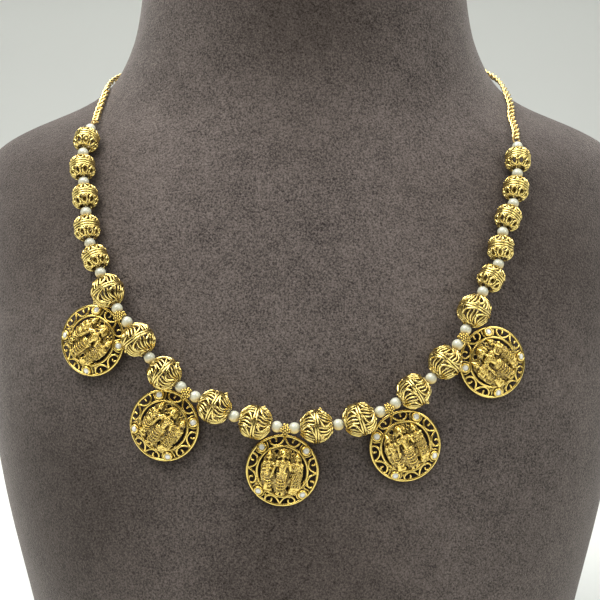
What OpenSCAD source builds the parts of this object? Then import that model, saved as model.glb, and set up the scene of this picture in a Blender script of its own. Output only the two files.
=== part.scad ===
// Temple jewellery necklace of gold openwork medallions, gold beads and pearls,
// laid as worn round a plain neck bust. Millimetres, +Z up, front towards -Y.

/* [View] */
// Piece to draw, all or the name of one node
// Facets round an ordinary curve
detail = 40; // [24:4:96]

/* [Bust] */
// Height of the neck bust
bust_h = 275; // [200:5:350]
// Half of the widest shoulder width
bust_half_w = 128; // [90:1:160]
// Depth of the front at the base, from the ridge plane
bust_front = 104; // [80:1:130]
// Largest depth of the back, from the ridge plane
bust_back = 54; // [40:1:80]
// Facets round the bust
bust_sides = 48; // [36:4:72]

/* [Thread] */
// Radius of the thread
thread_r = 0.3; // [0.2:0.05:0.5]
// Radius of the holes drilled for the thread
bore_r = 0.55; // [0.4:0.05:0.8]
// Clear gap between neighbours on the thread
gap = 0.2; // [0.1:0.05:0.3]
// Sides of the thread
thread_sides = 6; // [5:1:8]

/* [Beads] */
// Diameter of a pearl
pearl_d = 4; // [3:0.1:6]
// Diameter of a round openwork bead
round_d = 12.2; // [9:0.1:14]
// Length of a round bead along the thread
round_len = 10.8; // [9:0.1:13]
// Wall of a round bead
round_wall = 1; // [0.6:0.1:2]
// Diameter of a barrel bead
barrel_d = 9.4; // [7:0.1:12]
// Length of a barrel bead along the thread
barrel_len = 8.1; // [6:0.1:10]
// Radius of the mouth of a barrel bead
barrel_mouth = 2.1; // [1.5:0.1:3]

/* [Medallion] */
// Diameter over the rim wire
medal_d = 25.4; // [18:0.1:32]
// Rise of the dome
dome = 2.6; // [1:0.1:5]
// Thickness of the openwork
sheet = 0.9; // [0.5:0.1:2]
// Radius of the rim wire
rim_wire = 0.5; // [0.3:0.05:1]
// Radius of the ring between figures and scrolls
ring_r = 8.75; // [6:0.1:10]
// Radius of the ring wire
ring_wire = 0.42; // [0.3:0.02:0.8]
// Distance of the four stones from the centre
collet_at = 10.65; // [9:0.05:12]
// Outer radius of a collet
collet_r = 1.65; // [1.2:0.05:2.2]
// Radius of a stone at its girdle
stone_r = 1.05; // [0.7:0.05:1.4]
// Length of a bail along the thread
bail_len = 1.7; // [1:0.1:3]
// Outer radius of a bail
bail_r = 1.6; // [1.2:0.1:2.4]
// Gap between a bail and the rim below it
bail_gap = 1.1; // [0.1:0.1:2]
// Lean of a medallion back towards the bust
lean = 8; // [0:0.5:15]
// Sideways swing of the medallions, in degrees from left to right
swing = [5, 5, -2, 2.5, 4]; // [-15:0.5:15]
// Depth of a medallion's back below the thread
sink = 2.8; // [1:0.1:4]

/* [Chain] */
// Pitch of the links
link_pitch = 2.9; // [2:0.1:4]
// Half length of a link's centreline
link_a = 2.05; // [1.2:0.05:3]
// Half width of a link's centreline
link_b = 1.25; // [0.8:0.05:2]
// Half rise of the twist of a link
link_h = 0.55; // [0.3:0.05:0.8]
// Radius of the link wire
link_wire = 0.42; // [0.2:0.05:0.6]
// Length of the clasp body
clasp_len = 11; // [6:0.5:16]
// Radius of the clasp body
clasp_r = 1.9; // [1.2:0.1:3]
// Radius of the ring at each end of the clasp
ring_reach = 1.45; // [1.2:0.05:2]

/* [Hidden] */
$fn = detail;
ridge_y = (bust_front - bust_back) / 2;
dome_r = (medal_d * medal_d / 4 + dome * dome) / (2 * dome);
rim_r = medal_d / 2 - rim_wire;
drop = medal_d / 2 + bail_r + bail_gap;

// Columns in millimetres: height, half width, front depth, back depth; then side roundness
bust_rows = [
  [0, 105, 104, 50, 0.4], [30, 111, 101, 52, 0.38], [70, 119, 96, 54, 0.34], [110, 124, 89, 54, 0.32],
  [146, 127, 80, 53, 0.38], [171, 128, 70, 52, 0.52], [189, 124.5, 62.5, 50, 0.72],
  [200.5, 112, 57.5, 49, 0.82], [208.5, 90, 54.5, 48, 0.74], [216.5, 76.7, 52.5, 47, 0.6],
  [227.5, 69.2, 50.5, 46, 0.54], [243, 63.8, 49, 45.5, 0.5], [260, 61.7, 48.5, 45, 0.5],
  [275, 61, 48.5, 45, 0.5]];
bust_levels = concat([for (z = [0:20:160]) z], [for (z = [168:6:240]) z], [252, 264, 275]);
drawn_h = 275;
drawn_w = 128;
drawn_front = 104;
drawn_back = 54;

// Columns: angle from the front, height on the bust, lift of the thread off it
route = [
  [-3, 105.4, 6.4], [1, 106.3, 6.4], [7.2, 107, 6.4], [13.8, 112.8, 6.4],
  [21.7, 124.5, 6.4], [27.4, 143.6, 6.4], [28.2, 147.8, 6.2], [31.7, 157.5, 5.3],
  [32.5, 168, 5.2], [35.2, 177.8, 5.2], [37.5, 190.3, 5.3], [39.6, 195.2, 4.8],
  [42.4, 199.6, 3.4], [44.4, 201.2, 2.3], [48, 203.5, 1.8], [54, 206.4, 1.7],
  [62, 209.6, 1.7], [72, 213, 1.7], [84, 217, 2.1], [98, 221, 2.5],
  [115, 224.6, 2.4], [145, 227.5, 2], [180, 228, 2.5], [215, 226, 1.8],
  [250, 222.2, 1.7], [269, 219.4, 1.6], [281, 216.7, 1.6], [290, 213.3, 1.6],
  [296.4, 210.7, 1.7], [302.7, 207.7, 1.9], [310.2, 204.7, 2.9], [315.9, 200.6, 4.5],
  [318.6, 195.9, 5.3], [321.2, 186.3, 5.2], [323, 176.3, 5.2], [323.4, 167.8, 5.2],
  [326.2, 155.6, 5.5], [327.7, 148.4, 6.2], [332.6, 136, 6.4], [337.1, 123.3, 6.4],
  [347.3, 110.3, 6.4], [357, 105.4, 6.4]];

// Pieces on one half of the string, outwards from the middle bail
half_string = ["pearl", "round", "pearl", "round", "pearl", "bail",
  "pearl", "round", "pearl", "round", "pearl", "bail",
  "pearl", "round", "pearl", "barrel", "pearl", "barrel", "pearl",
  "barrel", "pearl", "barrel", "pearl", "barrel", "pearl"];

function len_of(k) = k == "pearl" ? pearl_d : k == "round" ? round_len : k == "barrel" ? barrel_len : bail_len;
// Places where each piece of a half string starts
starts = [for (i = 0, s = bail_len / 2 + gap; i < len(half_string);
  s = s + len_of(half_string[i]) + gap, i = i + 1) s];
string_end = starts[len(starts) - 1] + pearl_d + gap;
function centres_of(kind) = [for (i = [0:len(starts) - 1]) if (half_string[i] == kind)
  starts[i] + len_of(kind) / 2];
pearl_at = centres_of("pearl");
round_at = centres_of("round");
barrel_at = centres_of("barrel");
bail_at = centres_of("bail");

// Smooth interpolation through the rows of a table
function level(rows, x, i = 0) = i >= len(rows) - 2 || x < rows[i + 1][0] ? i : level(rows, x, i + 1);
function step_slope(rows, c, i) = (rows[i + 1][c] - rows[i][c]) / (rows[i + 1][0] - rows[i][0]);
function row_slope(rows, c, i) = i <= 0 || i >= len(rows) - 1 ? 0 :
  let (p = step_slope(rows, c, i - 1), q = step_slope(rows, c, i)) p * q <= 0 ? 0 : 2 * p * q / (p + q);
function column(rows, c, x) = let (i = level(rows, x), w = rows[i + 1][0] - rows[i][0], t = (x - rows[i][0]) / w)
  rows[i][c] * (1 + 2 * t) * pow(1 - t, 2) + rows[i + 1][c] * t * t * (3 - 2 * t)
  + w * (row_slope(rows, c, i) * t * pow(1 - t, 2) + row_slope(rows, c, i + 1) * t * t * (t - 1));

// Surface of the bust at an angle and a height, and its outward normal
function section(z) = [column(bust_rows, 1, z) * bust_half_w / drawn_w,
  column(bust_rows, 2, z) * bust_front / drawn_front, column(bust_rows, 3, z) * bust_back / drawn_back,
  column(bust_rows, 4, z)];
function on_section(k, t, z) = [k[0] * sin(t),
  ridge_y - sign(cos(t)) * (cos(t) >= 0 ? k[1] : k[2]) * pow(abs(cos(t)), 2 * k[3]), z * bust_h / drawn_h];
function skin(t, z) = on_section(section(z), t, z);
function unit(v) = v / norm(v);
function skin_normal(t, z) = unit(cross(skin(t + 0.4, z) - skin(t - 0.4, z), skin(t, z + 0.4) - skin(t, z - 0.4)));
function over_skin(w) = skin(w[0], w[1]) + w[2] * skin_normal(w[0], w[1]);

// Thread route as a smooth closed line, then by its length
function spline(p, q, r, s, t) = 0.5 * (2 * q + (r - p) * t + (2 * p - 5 * q + 4 * r - s) * t * t
  + (3 * q - p - 3 * r + s) * t * t * t);
last = len(route) - 1;
turn = [360, 0, 0];
way = concat([route[last - 1] - turn], route, [route[1] + turn]);
fine = 8;
way_pts = [for (i = [0:last - 1], j = [0:fine - 1])
  spline(way[i], way[i + 1], way[i + 2], way[i + 3], j / fine)];
line = [for (w = concat(way_pts, [route[last]])) over_skin(w)];
line_n = [for (w = concat(way_pts, [route[last]])) skin_normal(w[0], w[1])];
marks = [for (i = 0, s = 0; i < len(line); i = i + 1, s = i < len(line) ? s + norm(line[i] - line[i - 1]) : s) s];
loop_len = marks[len(marks) - 1];
function table_of(list, axis) = [for (i = [0:len(list) - 1]) [marks[i], list[i][axis]]];
pos_x = table_of(line, 0);
pos_y = table_of(line, 1);
pos_z = table_of(line, 2);
nor_x = table_of(line_n, 0);
nor_y = table_of(line_n, 1);
nor_z = table_of(line_n, 2);
function along(s) = s < 0 ? s + loop_len : s;
function point_at(s) = let (k = along(s)) [lookup(k, pos_x), lookup(k, pos_y), lookup(k, pos_z)];
function normal_at(s) = let (k = along(s)) unit([lookup(k, nor_x), lookup(k, nor_y), lookup(k, nor_z)]);

// Frame of a piece of a given length: X along the thread, Z off the bust
function frame_at(s, size) = let (a = point_at(s - size / 2), b = point_at(s + size / 2), x = unit(b - a),
  n = normal_at(s), z = unit(n - (n * x) * x), y = cross(z, x), o = (a + b) / 2)
  [[x[0], y[0], z[0], o[0]], [x[1], y[1], z[1], o[1]], [x[2], y[2], z[2], o[2]], [0, 0, 0, 1]];
module at(s, size) { multmatrix(frame_at(s, size)) children(); }

// Closed skin over rings of points, with flat ends
module skinned(rings) {
  n = len(rings[0]);
  m = len(rings);
  pts = [for (r = rings, p = r) p];
  walls = [for (i = [0:m - 2], j = [0:n - 1], k = [0, 1]) let (a = i * n + j, b = i * n + (j + 1) % n)
    k == 0 ? [a, b, a + n] : [b, b + n, a + n]];
  ends = [[for (j = [n - 1:-1:0]) j], [for (j = [0:n - 1]) m * n - n + j]];
  polyhedron(pts, concat(walls, ends));
}

module neck_bust() {
  color([0.35, 0.31, 0.3])
    skinned([for (z = bust_levels) let (k = section(z))
      [for (j = [0:bust_sides - 1]) on_section(k, -360 * j / bust_sides, z)]]);
}

// Pearls of one half of the string
module pearls(side) {
  color([0.94, 0.92, 0.87])
    for (s = pearl_at) at(side * s, pearl_d) rotate([0, 90, 0]) difference() {
      sphere(d = pearl_d);
      cylinder(r = bore_r, h = pearl_d + 2, center = true);
    }
}

// Leaf-shaped opening through the wall of a round bead, seen along its depth
module leaf_gap() {
  linear_extrude(round_d) polygon([[0, -1.5], [0.8, -0.9], [1.05, 0], [0.75, 0.9], [0, 1.9],
    [-0.55, 0.9], [-0.7, 0], [-0.55, -0.9]]);
}

// Openwork ball: seam wire, knobs on it, mouth rings, four openings that face outwards
module round_bead(s) {
  r = round_d / 2;
  mouth = sqrt(r * r - round_len * round_len / 4);
  color([0.85, 0.66, 0.3]) at(s, round_len) rotate([0, 90, 0]) difference() {
    union() {
      intersection() {
        sphere(r = r - 0.25, $fn = 60);
        cylinder(r = r, h = round_len, center = true);
      }
      rotate_extrude() translate([r - 0.45, 0]) circle(r = 0.45, $fn = 16);
      for (e = [-1, 1]) translate([0, 0, e * (round_len / 2 - 0.4)])
        rotate_extrude() translate([mouth + 0.3, 0]) circle(r = 0.4, $fn = 16);
      for (k = [0:5]) rotate(60 * k + 30) translate([r - 0.35, 0, 0]) sphere(r = 0.6, $fn = 16);
    }
    sphere(r = r - 0.25 - round_wall, $fn = 60);
    cylinder(r = bore_r, h = round_d + 2, center = true);
    for (e = [-1, 1], f = [-1, 1]) rotate([0, 0, 180 + f * 32]) rotate([0, 90 - e * 38, 0]) leaf_gap();
  }
}

// Drum with three wires round it and an open cup at each end
module barrel_bead(s) {
  r = barrel_d / 2;
  h = barrel_len / 2;
  wall = 0.7;
  color([0.85, 0.66, 0.3]) at(s, barrel_len) rotate([0, 90, 0]) difference() {
    union() {
      rotate_extrude() polygon([[0, -h + 0.5], [barrel_mouth, -h], [barrel_mouth + wall, -h + 0.2],
        [r - 0.9, -h + 1.4], [r - 0.3, -1.7], [r - 0.3, 1.7], [r - 0.9, h - 1.4],
        [barrel_mouth + wall, h - 0.2], [barrel_mouth, h], [0, h - 0.5]]);
      for (z = [-1.35, 0, 1.35]) translate([0, 0, z])
        rotate_extrude() translate([r - 0.4, 0]) circle(r = 0.4, $fn = 16);
    }
    for (e = [-1, 1]) scale([1, 1, e]) translate([0, 0, h - 1.6])
      cylinder(r1 = bore_r, r2 = barrel_mouth + 0.2, h = 2);
    cylinder(r = bore_r, h = barrel_len + 2, center = true);
  }
}

// Height of the domed openwork at a distance from the centre
function dome_z(d) = sqrt(dome_r * dome_r - d * d) - dome_r + dome;

// Places a child on the dome, square to it
module on_dome(angle, d) {
  rotate(angle) translate([0, 0, dome - dome_r]) rotate([0, asin(d / dome_r), 0]) translate([0, 0, dome_r])
    children();
}

// Tapering limb between two points
module limb(p, q, r1, r2) {
  v = q - p;
  translate(p) rotate([0, acos(v[2] / norm(v)), atan2(v[1], v[0])]) cylinder(r1 = r1, r2 = r2, h = norm(v), $fn = 20);
}

// Standing figure in relief, feet at the origin, taller towards +Y
module standing_figure(h, arm) {
  z = 0.55;
  for (x = [-0.55, 0.55]) limb([x, 0, 0.35], [x * 0.9, h * 0.4, z], 0.42, 0.7);
  limb([0, h * 0.12, 0.3], [0, h * 0.5, z], 1.35, 0.9);
  limb([0, h * 0.47, z], [0, h * 0.74, z + 0.1], 0.8, 1.15);
  translate([0, h * 0.74, z + 0.1]) sphere(r = 1.12, $fn = 24);
  translate([0, h * 0.88, z + 0.45]) sphere(r = 0.98, $fn = 24);
  limb([0, h * 0.93, z + 0.3], [0, h * 1.08, z + 0.1], 0.85, 0.3);
  for (e = [-1, 1]) {
    limb([e * 1.15, h * 0.74, z], [e * 1.75, h * 0.56, z + 0.15], 0.42, 0.36);
    limb([e * 1.75, h * 0.56, z + 0.15], [e * arm, h * 0.64, z + 0.75], 0.38, 0.32);
  }
}

// Kneeling figure in relief, facing the middle
module kneeling_figure() {
  limb([-1.1, 0.2, 0.5], [0.9, 0.3, 0.6], 0.6, 0.5);
  limb([-0.7, 0.5, 0.5], [-0.2, 2.1, 0.7], 0.75, 0.62);
  limb([-0.2, 1.8, 0.8], [1.1, 1.75, 1.0], 0.34, 0.28);
  translate([-0.1, 2.9, 0.85]) sphere(r = 0.72, $fn = 20);
}

// One of the paired scroll openings, with its curled wire left standing
module scroll_gap(side) {
  difference() {
    polygon([[side * 0.75, rim_r - 0.7], [side * 2.1, ring_r + 1.05], [side * 3.3, ring_r + 0.55],
      [side * 4.35, ring_r + 0.45], [side * 4.75, ring_r + 1.15], [side * 4.3, ring_r + 1.85],
      [side * 2.9, rim_r - 0.95]]);
    translate([side * 3.7, ring_r + 1.3]) difference() {
      circle(r = 0.62, $fn = 20);
      circle(r = 0.24, $fn = 12);
      translate([side * -0.9, -0.9]) square(0.9);
    }
    translate([side * 3.75, ring_r + 1.9]) square([0.45, 0.9], center = true);
  }
}

module medallion_gaps() {
  for (k = [0:3]) rotate(90 * k) {
    for (e = [-1, 1]) scroll_gap(e);
    polygon([[0, rim_r - 1.3], [0.95, ring_r + 0.7], [-0.95, ring_r + 0.7]]);
  }
  for (e = [-1, 1]) polygon([for (a = [-38:12.5:37]) [e * 7.75 * cos(a), 7.75 * sin(a)],
    for (a = [37:-12.5:-38]) [e * (6.75 + 0.2 * cos(3 * a)) * cos(a), 6.75 * sin(a)]]);
  polygon([[2.2, -0.8], [2.9, -0.6], [2.75, 1.6], [2.25, 1.4]]);
  polygon([[-2.3, 0.4], [-1.8, 0.6], [-1.7, 2.2], [-2.2, 2.3]]);
}

// Openwork disc centred on its own axis, dome towards +Z
module medallion_disc() {
  difference() {
    union() {
      difference() {
        intersection() {
          translate([0, 0, dome - dome_r]) sphere(r = dome_r, $fn = 120);
          cylinder(r = rim_r, h = 2 * dome);
        }
        translate([0, 0, dome - dome_r]) sphere(r = dome_r - sheet, $fn = 120);
        translate([0, 0, -1]) linear_extrude(dome + 4) medallion_gaps();
      }
      translate([0, 0, rim_wire]) rotate_extrude($fn = 60) translate([rim_r, 0]) circle(r = rim_wire, $fn = 16);
      translate([0, 0, dome_z(ring_r)]) rotate_extrude($fn = 60) translate([ring_r, 0]) circle(r = ring_wire, $fn = 16);
      for (k = [0:3]) on_dome(45 + 90 * k, collet_at) translate([0, 0, -0.6]) cylinder(r = collet_r, h = 1.5);
      translate([0, 0, dome - 0.5]) {
        translate([0, -7.1, -0.1]) standing_figure(12.4, 2.6);
        translate([-4.6, -4.3, -0.3]) standing_figure(8.3, 1.9);
        translate([4.6, -5.3, -0.3]) standing_figure(9.2, 1.9);
        translate([-4.6, -6.9, -0.75]) kneeling_figure();
      }
    }
    for (k = [0:3]) on_dome(45 + 90 * k, collet_at) translate([0, 0, 0.25]) stone_seat();
  }
}

// Pocket for a stone, wider than it all round
module stone_seat() {
  cylinder(r = stone_r + 0.14, h = 2);
  translate([0, 0, -0.85]) cylinder(r1 = 0.2, r2 = stone_r + 0.14, h = 0.86);
}

// Cut stone with a table, eight crown facets, a girdle and eight pavilion facets
module cut_stone() {
  translate([0, 0, 0.25]) rotate_extrude($fn = 8)
    polygon([[0, -0.62], [stone_r, 0.06], [stone_r, 0.16], [stone_r * 0.58, 0.5], [0, 0.5]]);
}

// Swing of the medallion at a place on the string
function swing_at(s) = swing[round(s / bail_at[0]) + 2];
// Stands a medallion under its bail, leaning back to rest on the bust
module hung(s) {
  at(s, bail_len) rotate([lean, 0, -swing_at(s)]) translate([0, -drop, -sink]) children();
}

module medallion(s) {
  color([0.85, 0.66, 0.3]) {
    difference() {
      union() {
        hung(s) medallion_disc();
        at(s, bail_len) {
          rotate([0, 90, 0]) cylinder(r = bail_r, h = bail_len, center = true);
          rotate([0, 0, -swing_at(s)]) for (t = [0.5, 0.85]) translate([0, -t * (bail_r + bail_gap), -t * sink])
            rotate([0, 90, 0]) cylinder(r = 0.95, h = 1.3, center = true, $fn = 24);
        }
      }
      at(s, bail_len) rotate([0, 90, 0]) cylinder(r = bore_r, h = bail_len + 2, center = true);
    }
  }
}

module stones(s) {
  color([0.9, 0.95, 1])
    for (k = [0:3]) hung(s) on_dome(45 + 90 * k, collet_at) cut_stone();
}

// Twisted link of round wire, as rings of points round its centreline
link_steps = 10;
link_sides = 5;
function link_mid(f) = [link_a * cos(f), link_b * sin(f), link_h * sin(2 * f)];
function link_ring(f, r) = let (t = unit(link_mid(f + 2) - link_mid(f - 2)), o = unit(link_mid(f) - [0, 0, 0]),
  u = unit(o - (o * t) * t), v = cross(t, u))
  [for (k = [0:link_sides - 1]) link_mid(f) + r * (cos(72 * k) * u + sin(72 * k) * v)];
module link(r) {
  pts = [for (i = [0:link_steps - 1]) each link_ring(360 * i / link_steps, r)];
  total = len(pts);
  polyhedron(pts, [for (i = [0:link_steps - 1], k = [0:link_sides - 1], h = [0, 1])
    let (a = i * link_sides + k, b = i * link_sides + (k + 1) % link_sides,
      c = (a + link_sides) % total, d = (b + link_sides) % total)
    h == 0 ? [a, c, b] : [b, c, d]]);
}

// Links run from the end loop of the thread to the clasp behind the neck
chain_start = string_end + link_a + thread_r + link_pitch;
half_loop = loop_len / 2;
last_link = half_loop - clasp_len / 2 - ring_reach + 0.5 - 2.2;
links_each = round((last_link - chain_start) / link_pitch);
chain_step = (last_link - chain_start) / links_each;
function link_at(side, i) = side > 0 ? chain_start + i * chain_step : -chain_start - i * chain_step;

module chain(side) {
  color([0.85, 0.66, 0.3])
    for (i = [0:links_each]) at(link_at(side, i), link_pitch) link(link_wire);
}

// Plain barrel clasp with a soldered ring at each end, turned to pass through the last link
module clasp() {
  color([0.85, 0.66, 0.3]) for (e = [-1, 1]) {
    at(half_loop, clasp_len) rotate([0, 90, 0]) translate([0, 0, e > 0 ? 0 : -clasp_len / 2])
      cylinder(r = clasp_r, h = clasp_len / 2);
    at(half_loop + e * (clasp_len / 2 + ring_reach - 0.5), link_pitch) rotate([e * 40, 0, 0])
      rotate_extrude() translate([ring_reach, 0]) circle(r = link_wire, $fn = 16);
  }
}

// Thread stations at the middle of every gap, so that it runs straight through each piece
half_joints = concat([for (s = starts) s - gap / 2], [string_end + thread_r]);
joints = concat([for (i = [len(half_joints) - 1:-1:0]) -half_joints[i]], half_joints);
function tube_ring(i) = let (p = point_at(joints[i]), a = point_at(joints[max(i - 1, 0)]),
  b = point_at(joints[min(i + 1, len(joints) - 1)]), t = unit(b - a), n = normal_at(joints[i]),
  u = unit(n - (n * t) * t), v = cross(u, t))
  [for (k = [0:thread_sides - 1]) p + thread_r * (cos(360 * k / thread_sides) * u
    + sin(360 * k / thread_sides) * v)];
module thread() {
  color([0.75, 0.6, 0.35]) union() {
    skinned([for (i = [0:len(joints) - 1]) tube_ring(i)]);
    for (e = [-1, 1]) at(e * (chain_start - chain_step), link_pitch) link(thread_r);
  }
}

neck_bust();
thread();
pearls(-1);  // pearls_left
pearls(1);  // pearls_right
round_bead(round_at[0]);  // round_bead_1
round_bead(round_at[1]);  // round_bead_2
round_bead(round_at[2]);  // round_bead_3
round_bead(round_at[3]);  // round_bead_4
round_bead(round_at[4]);  // round_bead_5
round_bead(-round_at[0]);  // round_bead_6
round_bead(-round_at[1]);  // round_bead_7
round_bead(-round_at[2]);  // round_bead_8
round_bead(-round_at[3]);  // round_bead_9
round_bead(-round_at[4]);  // round_bead_10
barrel_bead(barrel_at[0]);  // barrel_bead_1
barrel_bead(barrel_at[1]);  // barrel_bead_2
barrel_bead(barrel_at[2]);  // barrel_bead_3
barrel_bead(barrel_at[3]);  // barrel_bead_4
barrel_bead(barrel_at[4]);  // barrel_bead_5
barrel_bead(-barrel_at[0]);  // barrel_bead_6
barrel_bead(-barrel_at[1]);  // barrel_bead_7
barrel_bead(-barrel_at[2]);  // barrel_bead_8
barrel_bead(-barrel_at[3]);  // barrel_bead_9
barrel_bead(-barrel_at[4]);  // barrel_bead_10
medallion(-bail_at[1]);  // medallion_1
medallion(-bail_at[0]);  // medallion_2
medallion(0);  // medallion_3
medallion(bail_at[0]);  // medallion_4
medallion(bail_at[1]);  // medallion_5
stones(-bail_at[1]);  // stones_1
stones(-bail_at[0]);  // stones_2
stones(0);  // stones_3
stones(bail_at[0]);  // stones_4
stones(bail_at[1]);  // stones_5
chain(-1);  // chain_left
chain(1);  // chain_right
clasp();
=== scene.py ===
import math
from functools import reduce
import bpy
import bmesh
import numpy as np
from mathutils import Matrix, Vector
from mathutils.bvhtree import BVHTree


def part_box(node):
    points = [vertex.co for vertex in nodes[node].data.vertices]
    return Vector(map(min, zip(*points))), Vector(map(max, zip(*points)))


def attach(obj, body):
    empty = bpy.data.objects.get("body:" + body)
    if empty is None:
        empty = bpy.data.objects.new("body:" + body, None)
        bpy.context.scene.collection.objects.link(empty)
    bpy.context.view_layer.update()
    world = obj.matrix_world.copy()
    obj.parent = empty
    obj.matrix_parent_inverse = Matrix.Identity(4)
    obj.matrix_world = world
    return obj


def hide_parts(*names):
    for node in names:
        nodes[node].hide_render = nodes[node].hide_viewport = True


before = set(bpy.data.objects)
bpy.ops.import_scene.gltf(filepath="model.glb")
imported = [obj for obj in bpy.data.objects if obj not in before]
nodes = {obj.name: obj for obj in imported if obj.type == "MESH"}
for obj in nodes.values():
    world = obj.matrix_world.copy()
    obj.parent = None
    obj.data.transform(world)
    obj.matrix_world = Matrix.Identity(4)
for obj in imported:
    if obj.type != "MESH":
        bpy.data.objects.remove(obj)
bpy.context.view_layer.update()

print("frame loaded", len(nodes), "nodes")

# Wire and solid building in millimetres

def unit(v):
    v = np.asarray(v, float)
    return v / max(np.linalg.norm(v), 1e-12)


def moved(points, matrix):
    return points if matrix is None else points @ matrix[:3, :3].T + matrix[:3, 3]


# Each point carries a painted-light share for the gold: 1 is fully lit, lower values are painted shade.
class Shape:
    def __init__(self):
        self.points, self.faces, self.relief, self.count = [], [], [], 0

    def add(self, points, faces, relief=1.0):
        points = np.asarray(points, float)
        self.points.append(points)
        self.faces += [tuple(i + self.count for i in f) for f in faces]
        self.relief.append(np.broadcast_to(relief, len(points)).astype(float))
        self.count += len(points)
        return self

    def join(self, other, matrix=None):
        points = moved(np.concatenate(other.points), matrix)
        return self.add(points, other.faces, np.concatenate(other.relief))

    def mesh(self, name, matrix=None):
        points = moved(np.concatenate(self.points), matrix)
        mesh = bpy.data.meshes.new(name)
        mesh.from_pydata(points.tolist(), [], self.faces)
        mesh.attributes.new("relief", "FLOAT", "POINT").data.foreach_set("value", np.concatenate(self.relief))
        mesh.polygons.foreach_set("use_smooth", [True] * len(mesh.polygons))
        mesh.update()
        return mesh


def linked(name, mesh):
    obj = bpy.data.objects.new(name, mesh)
    bpy.context.scene.collection.objects.link(obj)
    return obj


def spline(points, steps=6):
    p = [np.asarray(q, float) for q in points]
    at = lambda i: p[min(max(i, 0), len(p) - 1)]
    out = []
    for i in range(len(p) - 1):
        a, b, c, d = at(i - 1), at(i), at(i + 1), at(i + 2)
        for k in range(steps):
            t = k / steps
            out.append(.5 * (2 * b + (c - a) * t + (2 * a - 5 * b + 4 * c - d) * t * t
                             + (3 * b - a - 3 * c + d) * t ** 3))
    return np.array(out + [p[-1]])


def wire(shape, path, normals, wide, high, sides=8, closed=False, relief=1.0):
    path, normals = np.asarray(path, float), np.asarray(normals, float)
    n = len(path)
    wide, high = np.broadcast_to(wide, n), np.broadcast_to(high, n)
    ahead = np.roll(path, -1, 0) - np.roll(path, 1, 0)
    if not closed:
        ahead[0], ahead[-1] = path[1] - path[0], path[-1] - path[-2]
    ahead /= np.maximum(np.linalg.norm(ahead, axis=1), 1e-9)[:, None]
    side = np.cross(ahead, normals)
    side /= np.maximum(np.linalg.norm(side, axis=1), 1e-9)[:, None]
    up = np.cross(side, ahead)
    turn = np.arange(sides) * 2 * math.pi / sides
    rings = (path[:, None] + side[:, None] * (wide[:, None] * np.cos(turn))[..., None]
             + up[:, None] * (high[:, None] * np.sin(turn))[..., None])
    at = lambda i, k: i % n * sides + k % sides
    faces = [(at(i, k), at(i + 1, k), at(i + 1, k + 1), at(i, k + 1))
             for i in range(n if closed else n - 1) for k in range(sides)]
    if not closed:
        faces += [tuple(range(sides)), tuple(range(n * sides - 1, (n - 1) * sides - 1, -1))]
    # Painted shade: the share falls towards the side of each wire facing away from its normal, so its
    # underside is painted darker.
    shade = np.repeat(np.broadcast_to(relief, n), sides) * np.tile(.72 + .28 * np.sin(turn), n)
    return shape.add(rings.reshape(-1, 3), faces, shade)


def blob(shape, centre, radii, turn=None, rings=8, segments=12):
    lat = np.linspace(0, math.pi, rings + 1)[1:-1]
    lon = np.arange(segments) * 2 * math.pi / segments
    pts = [(0, 0, 1)]
    pts += [(math.sin(a) * math.cos(b), math.sin(a) * math.sin(b), math.cos(a)) for a in lat for b in lon]
    pts = np.array(pts + [(0, 0, -1)]) * np.broadcast_to(radii, 3)
    if turn is not None:
        pts = pts @ np.asarray(turn).T
    m = rings - 1
    at = lambda i, j: 1 + i * segments + j % segments
    faces = [(0, at(0, j), at(0, j + 1)) for j in range(segments)]
    faces += [(at(i, j), at(i + 1, j), at(i + 1, j + 1), at(i, j + 1))
              for i in range(m - 1) for j in range(segments)]
    faces += [(at(m - 1, j + 1), at(m - 1, j), m * segments + 1) for j in range(segments)]
    return shape.add(pts + np.asarray(centre, float), faces)


def limb(shape, a, b, ra, rb, segments=12, flat=1.0):
    a, b = np.asarray(a, float), np.asarray(b, float)
    n = np.array([0, 0, 1.0]) if abs(unit(b - a)[2]) < .9 else np.array([1.0, 0, 0])
    t = np.array([-1, -.92, -.7, -.38, 0]) * math.pi / 2
    v = unit(b - a)
    path, size = [], []
    for end, r, turns in ((a, ra, t), (b, rb, -t[::-1])):
        for u in turns:
            path.append(end + v * r * math.sin(u))
            size.append(r * max(math.cos(u), .03))
    size = np.array(size)
    return wire(shape, path, [n] * len(path), size, size * flat, segments)


def lathe(shape, profile, segments=32):
    profile = np.asarray(profile, float)
    n = len(profile)
    turn = np.arange(segments) * 2 * math.pi / segments
    pts = np.stack([profile[:, 0][:, None] * np.cos(turn), profile[:, 0][:, None] * np.sin(turn),
                    np.broadcast_to(profile[:, 1][:, None], (n, segments))], -1).reshape(-1, 3)
    at = lambda i, j: i % n * segments + j % segments
    faces = [(at(i, j), at(i, j + 1), at(i + 1, j + 1), at(i + 1, j))
             for i in range(n) for j in range(segments)]
    return shape.add(pts, faces)


def ringWire(shape, radius, z, wide, high, segments=64, sides=8):
    turn = np.arange(segments) * 2 * math.pi / segments
    path = np.stack([radius * np.cos(turn), radius * np.sin(turn), np.full(segments, z)], -1)
    return wire(shape, path, np.tile([0, 0, 1.0], (segments, 1)), wide, high, sides, True)


def meshPoints(mesh):
    co = np.zeros(len(mesh.vertices) * 3)
    mesh.vertices.foreach_get("co", co)
    return co.reshape(-1, 3)


def meshShape(mesh):
    return Shape().add(meshPoints(mesh), [tuple(q.vertices) for q in mesh.polygons])


def matrixOf(x, y, z, origin):
    m = np.eye(4)
    m[:3, 0], m[:3, 1], m[:3, 2], m[:3, 3] = x, y, z, origin
    return m


def spun(angle, flip=1):
    c, s = math.cos(angle), math.sin(angle)
    return np.array([[c, -s * flip, 0, 0], [s, c * flip, 0, 0], [0, 0, flip, 0], [0, 0, 0, 1.0]])


# Shader sockets with plain arithmetic

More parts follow.
